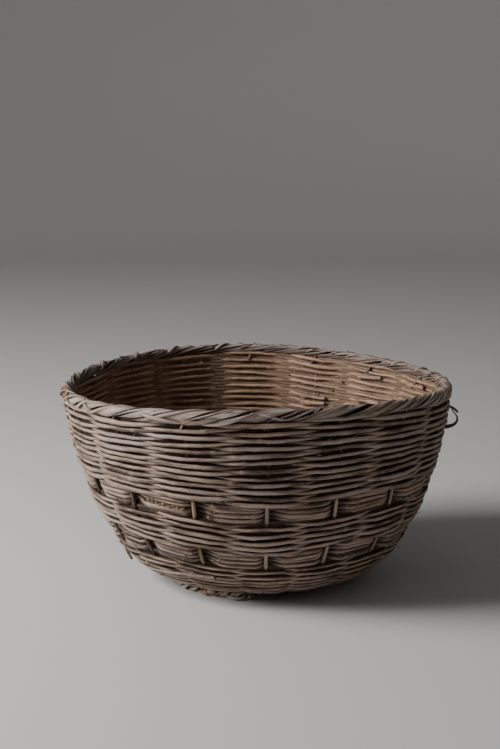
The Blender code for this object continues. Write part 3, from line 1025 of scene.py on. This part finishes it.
foot_rods = []
for strand in range(3):
    turn = np.linspace(0, 2 * pi, 420)[:-FOOT_GAP]
    roll = FOOT_TWISTS * turn + 2 * pi * strand / 3
    ring_radius = FOOT_RING_RADIUS + FOOT_STRAND * np.cos(roll)
    line = from_centre(turn, ring_radius, FOOT_CENTRE + FOOT_STRAND * np.sin(roll))
    spoke = from_centre(turn, 1.0, 0.0)
    thick = FOOT_STRAND * (1 + 0.06 * wander(turn, 0.5, 1.0))
    tone = chance.uniform(0, 1)
    # The inner side of each strand is painted a little darker as shade.
    rod = carry_ring(line, spoke, thick, thick, tone, bare_out=0.8, bare_in=0.6)
    rod["points"][:, 2] = np.maximum(rod["points"][:, 2], 0.0)
    foot_rods.append(rod)
make_piece("foot_ring_rods", foot_rods, floor_bark, "floor_rod", "foot_ring")

# %% [markdown]
# ## Worn binding at the foot
# On the left front the binding of the foot has come loose. Three twisted strips lie on the
# floor just outside the foot ring, with one reddish patch on them. Near their front end a
# thin strip stands out as a small loop.

# %% Binding strips
BINDING_RADIUS = 0.1245
BINDING_HEIGHT = 0.0052
BINDING_ROLL = 0.0030
BINDING_TWIST = 26
BINDING_FLATNESS = 0.62
LOOSE_THICK = 0.0009
LOOSE_HALF = 0.0018
# Each strip: start and end in degrees, its first roll, half its width, and how far out.
BINDING_STRIPS = [(-56, -2, 0.0, 0.0033, 0.0), (-53, -10, pi, 0.0030, 0.0),
                  (-42, -6, pi / 2, 0.0021, 0.0018)]
BINDING_PATCH = (-34, -26.5, 1.83, 0.0036, 0.0026)
# Each corner of the small loop: degrees round the basket, radius and height.
LOOSE_LOOP = [(-23, 0.1240, 0.0060), (-19, 0.1300, 0.0040), (-15, 0.1345, 0.0028),
              (-11.5, 0.1340, 0.0030), (-9.5, 0.1300, 0.0050), (-10, 0.1250, 0.0066)]


def binding_strip(start, end, first_roll, wide, out):
    """A strip that twists round a line beside the foot ring, and lies on the floor."""
    turn = radians(1) * np.linspace(start, end, int((end - start) * 4))
    roll = first_roll + turn * BINDING_TWIST + wander(turn, 0.45, 0.9)
    radius = BINDING_RADIUS + out + BINDING_ROLL * np.cos(roll) + wander(turn, 0.3, 0.0006)
    height = BINDING_HEIGHT + BINDING_ROLL * np.sin(roll) + wander(turn, 0.2, 0.0006)
    line = from_centre(turn, radius, height)
    spoke = from_centre(turn, np.cos(roll), np.sin(roll))
    size = wide * (1 + 0.34 * wander(turn, 0.13, 1.0))
    thick = BINDING_FLATNESS * size
    tone = chance.uniform(0.6, 1)
    strip = carry_ring(line, spoke, thick, size, tone, bare_out=1.0, bare_in=1.0)
    strip["points"][:, 2] = np.maximum(strip["points"][:, 2], 0.0)
    return strip


# The binding strips get the paler bark, which is painted light.
binding = [binding_strip(*numbers) for numbers in BINDING_STRIPS]
loop_corners = [from_centre(radians(turn), *place) for turn, *place in LOOSE_LOOP]
loop_line = smooth_through(loop_corners, 40)
loop_facing = np.tile([0.0, -0.5, 0.8], (len(loop_line), 1))
binding.append(carry_ring(loop_line, loop_facing, LOOSE_THICK, LOOSE_HALF,
                          tone=0.8, bare_out=1.0))
make_piece("foot_binding_strips", binding, painted_light_bark, "floor_rod")
make_piece("foot_binding_patch", [binding_strip(*BINDING_PATCH)], tie_bark, "border_cane")

# %% [markdown]
# ## The rolled border
# At the top each stake's end is split, beaten flat and rolled round a core hoop over three
# stakes, so the rim is a thick cord of broad, leaf-like strands. The cord is a little
# thinner behind the basket.

# %% Core of the border
BORDER_LINE = 0.3035
BORDER_ROLL = 0.0053
THINNER_ROLL = 0.0014
CORE_THICK = 0.0028
THINNER_CORE = 0.0005


def behind(angle):
    """Zero in front of the basket and one behind it."""
    return (0.5 - 0.5 * np.cos(angle)) ** 2


def border_roll(angle):
    """How far the strips stand off the core."""
    return BORDER_ROLL - THINNER_ROLL * behind(angle)


theta = np.linspace(0, 2 * pi, 600)[:-1]
core_points, core_outward = on_wall(theta, BORDER_LINE)
core_thick = CORE_THICK - THINNER_CORE * behind(theta) + wander(theta, 0.35, 0.0002)
# The core is painted dark all over, as the shade inside the roll.
core = carry_ring(core_points, core_outward, core_thick, core_thick,
                  tone=0.1, bare_out=0.0, bare_in=0.0)
make_piece("border_core_hoop", [core], floor_bark, "floor_rod", "border_core")

# %% Border strands
STRAND_SPAN = 3 * STAKE_STEP
CANE_WIDE = 0.0033
CANE_THICK = 0.0018


def beside_core(angle, out, up):
    """Points beside the middle of the core, and the direction away from it at each."""
    points, _ = on_wall(angle, BORDER_LINE, out=out, up=up)
    axis, _ = on_wall(angle, BORDER_LINE)
    return points, unit(points - axis)


def border_cane(index, roll_shift, lift, size):
    """One strip of a stake's split end, rolled twice round the core over three stakes."""
    share = np.linspace(-0.06, 1.06, 130)
    inner = np.clip(share, 0, 1)
    roll = -pi / 2 + roll_shift + 4 * pi * inner + wander(share, 0.5, 0.25) * np.sin(pi * inner)
    tail = np.maximum(-share, 0) + np.maximum(share - 1, 0)
    angle = stake_angle(index) + STRAND_SPAN * (inner + 0.3 * (share - inner))
    reach = border_roll(angle) + (lift + wander(share, 0.4, 0.0006)) * np.sin(pi * inner)
    out = reach * np.cos(roll) - 0.12 * np.maximum(share - 1, 0)
    up = reach * np.sin(roll) - 0.2 * tail
    points, away = beside_core(angle, out, up)
    leaf = np.sin(pi * np.clip(inner, 0.04, 0.96)) ** 0.45
    wide = CANE_WIDE * size * chance.uniform(0.9, 1.1) * leaf * (1 + 0.2 * wander(share, 0.3, 1.0))
    wide = wide * (1 - 0.22 * behind(angle))
    thick = CANE_THICK / size ** 0.7 * (0.7 + 0.3 * leaf) * (1 - 0.15 * behind(angle))
    # Strips are painted darker where they turn to the inside of the roll, and on their faces
    # against the core, as shade.
    bare = 0.9 - 0.5 * np.clip(-np.cos(roll), 0, 1)
    tone = chance.uniform(0.1, 1.0)
    return carry_ring(points, away, thick, wide, tone, bare_out=bare)


# %% Border
BROAD_STRANDS = (9, 10, 11, 12, 13, 14, 15)
FINE_STRANDS = (0, 1, 2, 3, 4, 5)
# Each strip of a strand: how far it is rolled on, how far it stands out, and its size.
BROAD_SHAPES = [(-0.15, 0.0002, 1.75), (0.75, 0.0012, 0.7)]
FINE_SHAPES = [(-0.75, 0.0, 0.8), (-0.1, 0.0007, 0.75), (0.6, 0.0003, 0.8)]
OTHER_SHAPES = [(-0.5, 0.0, 1.05), (0.45, 0.0006, 0.95)]

for index in range(STAKE_COUNT):
    shapes = OTHER_SHAPES
    if index in BROAD_STRANDS:
        shapes = BROAD_SHAPES
    elif index in FINE_STRANDS:
        shapes = FINE_SHAPES
    canes = []
    for roll_shift, lift, size in shapes:
        roll_shift = roll_shift + chance.uniform(-0.15, 0.15)
        lift = lift + chance.uniform(0.0, 0.0006)
        canes.append(border_cane(index, roll_shift, lift, size))
    name = f"border_strand_{index + 1:02d}"
    make_piece(name + "_canes", canes, border_bark, "border_cane", name)

# %% [markdown]
# ## Strips that cross the border
# At the left front, at the right end and at the far left a few strips leave the roll,
# cross over it the other way and are pushed back in. On the front one end curls out
# below it, and its pale bark is painted light. They break the even cord.

# %% Crossing strips
CROSSING_SINK = 0.0010
CROSSING_FLATNESS = 0.55
# Each strip: start and end in degrees, its roll at the start and at the end in degrees,
# how far it stands off the border, and half its width.
CROSSINGS = [(-52, -61, -60, 110, 0.0032, 0.0022), (-63, -53, -50, 100, 0.0042, 0.0024),
             (-66, -75, -70, 100, 0.0036, 0.0021), (-84, -74, -60, 110, 0.0044, 0.0022),
             (-25, -11, -95, -15, 0.0046, 0.0036), (-34, -16, 20, -90, 0.0040, 0.0034),
             (9, -3, -70, 60, 0.0026, 0.0018), (84, 92, -40, 170, 0.0030, 0.0020),
             (95, 100, -30, 190, 0.0036, 0.0022), (103, 109, -20, 200, 0.0032, 0.0024),
             (112, 117, -20, 190, 0.0036, 0.0020), (122, 129, -10, 180, 0.0028, 0.0022),
             (-104, -99, -20, 170, 0.0036, 0.0030), (-122, -115, 10, 190, 0.0034, 0.0036),
             (-139, -134, 0, 180, 0.0040, 0.0030), (-156, -149, -10, 170, 0.0030, 0.0034),
             (-172, -166, 10, 170, 0.0026, 0.0026)]
CURLED_END = (-18, -6, -80, -20, 0.0062, 0.0031)


def crossing_cane(start, end, roll_start, roll_end, reach, wide):
    """A strip that arches over the roll and is pushed into it at both ends."""
    share = np.linspace(0, 1, 40)
    roll = radians(roll_start) + radians(roll_end - roll_start) * share
    arch = np.sin(pi * share) ** 0.5
    angle = radians(start) + radians(end - start) * share
    off = BORDER_ROLL - CROSSING_SINK + reach * arch
    points, away = beside_core(angle, off * np.cos(roll), off * np.sin(roll))
    size = wide * (0.35 + 0.65 * arch)
    thick = CROSSING_FLATNESS * size
    tone = chance.uniform(0.4, 1)
    return carry_ring(points, away, thick, size, tone, bare_out=0.95)


crossings = [crossing_cane(*numbers) for numbers in CROSSINGS]
make_piece("border_crossing_canes", crossings, border_bark, "border_cane")
# The curled end gets the paler bark, which is painted light.
make_piece("border_curled_end", [crossing_cane(*CURLED_END)], painted_light_bark, "border_cane")

# %% [markdown]
# ## Worn tips on the border
# The ends of the split strips have worked loose along the top, most of all on the right
# front and behind. Each is a short flat tip that follows its strip and stands a little off
# the roll.

# %% Worn tips
TIPS = 190
TIP_LIFT = 0.0006
TIP_THICK = 0.0005

tips = []
for number in range(TIPS):
    share = np.linspace(0, 1, 9)
    start = (chance.uniform(15, 85), chance.uniform(95, 265), chance.uniform(-180, 180))[number % 3]
    roll = radians(chance.uniform(30, 125)) + radians(chance.uniform(20, 60)) * share
    length = chance.uniform(0.008, 0.020)
    angle = radians(start) + length * share / MOUTH_RADIUS
    reach = BORDER_ROLL + TIP_LIFT + chance.uniform(0.0006, 0.0030) * share ** 1.4
    points, away = beside_core(angle, reach * np.cos(roll), reach * np.sin(roll))
    wide = chance.uniform(0.0010, 0.0019) * (1 - 0.75 * share ** 2)
    tone = chance.uniform(0.3, 1)
    tips.append(carry_ring(points, away, TIP_THICK, wide, tone, bare_out=0.9))
make_piece("border_worn_tips", tips, border_bark, "border_cane")

# %% [markdown]
# ## The side loop
# On the right a strip of split cane is tied through the weave. One stiff stub stands out,
# and below it the thin end of the strip comes back in a loop.

# %% Side loop
LOOP_ANGLE = stake_angle(4)
LOOP_ASIDE = 0.0052 / 0.24
LOOP_LEVEL = 0.2600
# Each corner: how far it is out of the wall, and how far up from the middle of the loop.
STUB = [(0.0, 0.0152), (0.0085, 0.0142), (0.0160, 0.0118), (0.0218, 0.0080)]
LOOP = [(0.0128, 0.0110), (0.0172, 0.0066), (0.0216, 0.0020), (0.0226, -0.0034),
        (0.0198, -0.0085), (0.0138, -0.0120), (0.0070, -0.0140), (0.0, -0.0150)]
STUB_THICK = 0.0014
LOOP_THICK = 0.0008

low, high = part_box("side_loop")
print("side loop from", [round(v, 4) for v in low], "to", [round(v, 4) for v in high])
loop_turn = LOOP_ANGLE + LOOP_ASIDE
loop_inside = on_wall(loop_turn, LOOP_LEVEL, out=-0.004)[0]
stub_wide = np.linspace(0.0022, 0.0015, 24)
loop_wide = np.linspace(0.0009, 0.0034, 80)
loop_rods = []
for corners, thick, wide in ((STUB, STUB_THICK, stub_wide), (LOOP, LOOP_THICK, loop_wide)):
    line = smooth_through(corners, len(wide))
    points, _ = on_wall(loop_turn, LOOP_LEVEL, out=line[:, 0], up=line[:, 1])
    away = unit(points - loop_inside)
    across = unit(np.cross(away, np.gradient(points, axis=0)))
    twist = np.linspace(0.1, 1.15, len(line))[:, None]
    turned = away * np.cos(twist) + across * np.sin(twist)
    loop_rods.append(carry_ring(points, turned, thick, wide, tone=0.7, bare_out=0.9))
make_piece("side_loop_cane", loop_rods, tie_bark, "border_cane", "side_loop")

# %% [markdown]
# ## Loose fibres
# Old rods shed thin hairs of bark. They stand off the wall here and there, outside and
# inside, and make the outline look used. Each is a thin closed rod with one curl in it.

# %% Loose fibres
FIBRES = 110
OUTSIDE_SHARE = 0.65
FIBRE_OUT = 0.0052
FIBRE_ROOT = 0.00045
FIBRE_END = 0.0002

fibres = []
for number in range(FIBRES):
    share = np.linspace(0, 1, 8)
    where = chance.uniform(-pi, pi)
    s = chance.uniform(0.03, 0.297)
    side = 1 if chance.uniform() < OUTSIDE_SHARE else -1
    length = chance.uniform(0.005, 0.014)
    lean = chance.uniform(-1, 1)
    curl = chance.uniform(-0.5, 0.5)
    angle = where + lean * length * share / profile(s)[0]
    out = side * (FIBRE_OUT + 0.45 * length * share ** 1.5)
    up = length * (0.4 * share + curl * share ** 2)
    points, outward = on_wall(angle, s, out=out, up=up)
    size = np.linspace(FIBRE_ROOT, FIBRE_END, len(share))
    tone = chance.uniform(0.5, 1)
    fibres.append(carry_ring(points, outward, size, size, tone, bare_out=1.0))
make_piece("loose_fibres", fibres, weaver_bark, "weathered_rod")

# %% [markdown]
# ## Dried mud
# Ochre crumbs of mud have dried in the open bands, most of all on the left front, and a
# few have dried on the inside of the wall. Each starts as a small icosphere, is stretched
# and shaken out of its round shape, and is set into place between the rods. All of them
# are joined into one piece.

# %% Mud crumbs
# Each patch: degrees round the basket, its place along the wall, its spread in degrees and
# along the wall, how many crumbs, and plus one outside or minus one inside the wall.
PATCHES = [(-36, 0.1815, 2.5, 0.003, 12, 1), (-29, 0.1795, 5.5, 0.0014, 26, 1),
           (-14, 0.1770, 2.5, 0.006, 14, 1), (-3.5, 0.1725, 1.3, 0.0015, 9, 1),
           (-24, 0.1120, 2.0, 0.003, 8, 1), (-15, 0.1110, 2.5, 0.004, 9, 1),
           (-55, 0.1130, 3.0, 0.004, 5, 1), (30, 0.1780, 3.0, 0.006, 5, 1),
           (150, 0.1780, 3.0, 0.006, 5, 1), (135, 0.2550, 35, 0.035, 34, -1),
           (60, 0.2000, 60, 0.080, 16, -1), (-110, 0.2200, 60, 0.060, 16, -1)]
SMALLEST_CRUMB = 0.0006
CRUMB_RANGE = 0.0018


def crumb(place, size, seed):
    """One lump, stretched and shaken by its own seed."""
    bpy.ops.mesh.primitive_ico_sphere_add(subdivisions=2, radius=size, location=place)
    lump = bpy.context.active_object
    bpy.ops.object.mode_set(mode="EDIT")
    bpy.ops.transform.resize(value=(1.0 + 0.2 * (seed % 5), 0.8, 0.6 + 0.15 * (seed % 4)))
    bpy.ops.transform.vertex_random(offset=size * 0.45, seed=seed)
    bpy.ops.object.mode_set(mode="OBJECT")
    return lump


lumps = []
for centre, s, spread, height, count, side in PATCHES:
    for number in range(count):
        angle = radians(centre + chance.uniform(-spread, spread))
        out = side * chance.uniform(0.0022, 0.0042)
        place, _ = on_wall(angle, s + chance.uniform(-height, height), out=out)
        size = SMALLEST_CRUMB + CRUMB_RANGE * chance.uniform() ** 2.5
        lumps.append(crumb(place.tolist(), size, len(lumps)))
bpy.ops.object.select_all(action="DESELECT")
for lump in lumps:
    lump.select_set(True)
bpy.context.view_layer.objects.active = lumps[0]
bpy.ops.object.join()
bpy.ops.object.transform_apply(location=True, rotation=True, scale=True)
bpy.ops.object.shade_smooth()
mud = bpy.context.active_object
mud.name = "dried_mud_crumbs"
mud.data.name = "dried_mud_crumbs"
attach(mud, "root")
print("mud crumbs:", len(lumps))

# %% [markdown]
# ## The look of dried mud
# Dried mud is matt and gritty, and no direction shows in it. So its pattern reads plain
# Object coordinates, and the same noise gives its colour and its grit.

# %% Mud material
mud_material = bpy.data.materials.new("dried_mud")
mud_material.use_nodes = True
mud_tree = mud_material.node_tree
mud_shader = mud_tree.nodes["Principled BSDF"]
mud_place = new_node(mud_tree, "ShaderNodeTexCoord")
mud_spots = new_node(mud_tree, "ShaderNodeTexNoise")
mud_ramp = new_node(mud_tree, "ShaderNodeValToRGB")
mud_grit = new_node(mud_tree, "ShaderNodeBump")
mud_ramp.color_ramp.elements[0].position = 0.3
mud_ramp.color_ramp.elements[0].color = (0.12, 0.072, 0.040, 1.0)
mud_ramp.color_ramp.elements[1].position = 0.7
mud_ramp.color_ramp.elements[1].color = (0.36, 0.245, 0.150, 1.0)
fill(mud_spots.inputs["Vector"], mud_place.outputs["Object"])
fill(mud_spots.inputs["Scale"], 420.0)
fill(mud_spots.inputs["Detail"], 5.0)
fill(mud_ramp.inputs["Fac"], mud_spots.outputs["Fac"])
fill(mud_grit.inputs["Strength"], 0.8)
fill(mud_grit.inputs["Distance"], 0.0006)
fill(mud_grit.inputs["Height"], mud_spots.outputs["Fac"])
fill(mud_shader.inputs["Base Color"], mud_ramp.outputs["Color"])
fill(mud_shader.inputs["Roughness"], 0.92)
fill(mud_shader.inputs["Normal"], mud_grit.outputs["Normal"])
mud.data.materials.append(mud_material)
print("mud faces:", len(mud.data.polygons))

# %% [markdown]
# ## Floor, light and camera
# A pale sweep of paper carries the basket. One large soft light stands on the left, as a
# window would, and the rest of the room gives a weak even light.

# %% Pale floor with a raised edge
COVE_RADIUS = 6.0
COVE_HEIGHT = 3.5
COVE_BEND = 2.2

bpy.ops.mesh.primitive_circle_add(vertices=96, radius=COVE_RADIUS, fill_type="NGON")
floor = bpy.context.active_object
floor.name = "studio_floor"
bpy.ops.object.mode_set(mode="EDIT")
bpy.ops.mesh.select_all(action="SELECT")
bpy.ops.mesh.region_to_loop()
bpy.ops.mesh.extrude_region_move(TRANSFORM_OT_translate={"value": (0, 0, COVE_HEIGHT)})
bpy.ops.mesh.select_all(action="DESELECT")
bpy.ops.object.mode_set(mode="OBJECT")
for edge in floor.data.edges:
    ends = [floor.data.vertices[i].co for i in edge.vertices]
    edge.select = all(end.z < 0.01 and end.to_2d().length > 0.9 * COVE_RADIUS for end in ends)
bpy.ops.object.mode_set(mode="EDIT")
bpy.ops.mesh.bevel(offset=COVE_BEND, segments=12)
bpy.ops.mesh.select_all(action="SELECT")
bpy.ops.mesh.normals_make_consistent(inside=True)
bpy.ops.object.mode_set(mode="OBJECT")
bpy.ops.object.shade_smooth()
print("faces in the floor:", len(floor.data.polygons))

# %% Paper
paper = bpy.data.materials.new("pale_paper")
paper.use_nodes = True
paper_tree = paper.node_tree
paper_shader = paper_tree.nodes["Principled BSDF"]
paper_noise = new_node(paper_tree, "ShaderNodeTexNoise")
paper_ramp = new_node(paper_tree, "ShaderNodeValToRGB")
paper_ramp.color_ramp.elements[0].color = (0.60, 0.59, 0.575, 1.0)
paper_ramp.color_ramp.elements[1].color = (0.66, 0.65, 0.635, 1.0)
fill(paper_noise.inputs["Scale"], 3.0)
fill(paper_ramp.inputs["Fac"], paper_noise.outputs["Fac"])
fill(paper_shader.inputs["Base Color"], paper_ramp.outputs["Color"])
fill(paper_shader.inputs["Roughness"], 0.85)
floor.data.materials.append(paper)
print("nodes in the paper:", len(paper_tree.nodes))

# %% Light
WINDOW_PLACE = (-2.3, -0.5, 1.5)
WINDOW_SIZE = (1.2, 1.4)
WINDOW_POWER = 120.0
AIM_HEIGHT = 0.12
ROOM_LIGHT = 0.14

bpy.ops.object.light_add(type="AREA", location=WINDOW_PLACE)
window = bpy.context.active_object
window.name = "window_light"
window.data.shape = "RECTANGLE"
window.data.size, window.data.size_y = WINDOW_SIZE
window.data.energy = WINDOW_POWER
window.rotation_mode = "QUATERNION"
towards = window.location.copy()
towards.z -= AIM_HEIGHT
window.rotation_quaternion = towards.to_track_quat("Z", "Y")
world = bpy.data.worlds.new("room")
world.use_nodes = True
room = world.node_tree.nodes["Background"]
room.inputs["Color"].default_value = (0.90, 0.90, 0.90, 1.0)
room.inputs["Strength"].default_value = ROOM_LIGHT
bpy.context.scene.world = world
print("window light from", WINDOW_PLACE)

# %% Camera
CAMERA_PLACE = (-0.0141, -2.17, 0.65)
CAMERA_TILT = radians(79.92)

bpy.ops.object.camera_add(location=CAMERA_PLACE, rotation=(CAMERA_TILT, 0.0, 0.0))
camera = bpy.context.active_object
camera.data.sensor_fit = "VERTICAL"
camera.data.sensor_height = 36.0
camera.data.lens = 81.5
bpy.context.scene.camera = camera
print("camera height", round(camera.location.z, 3))
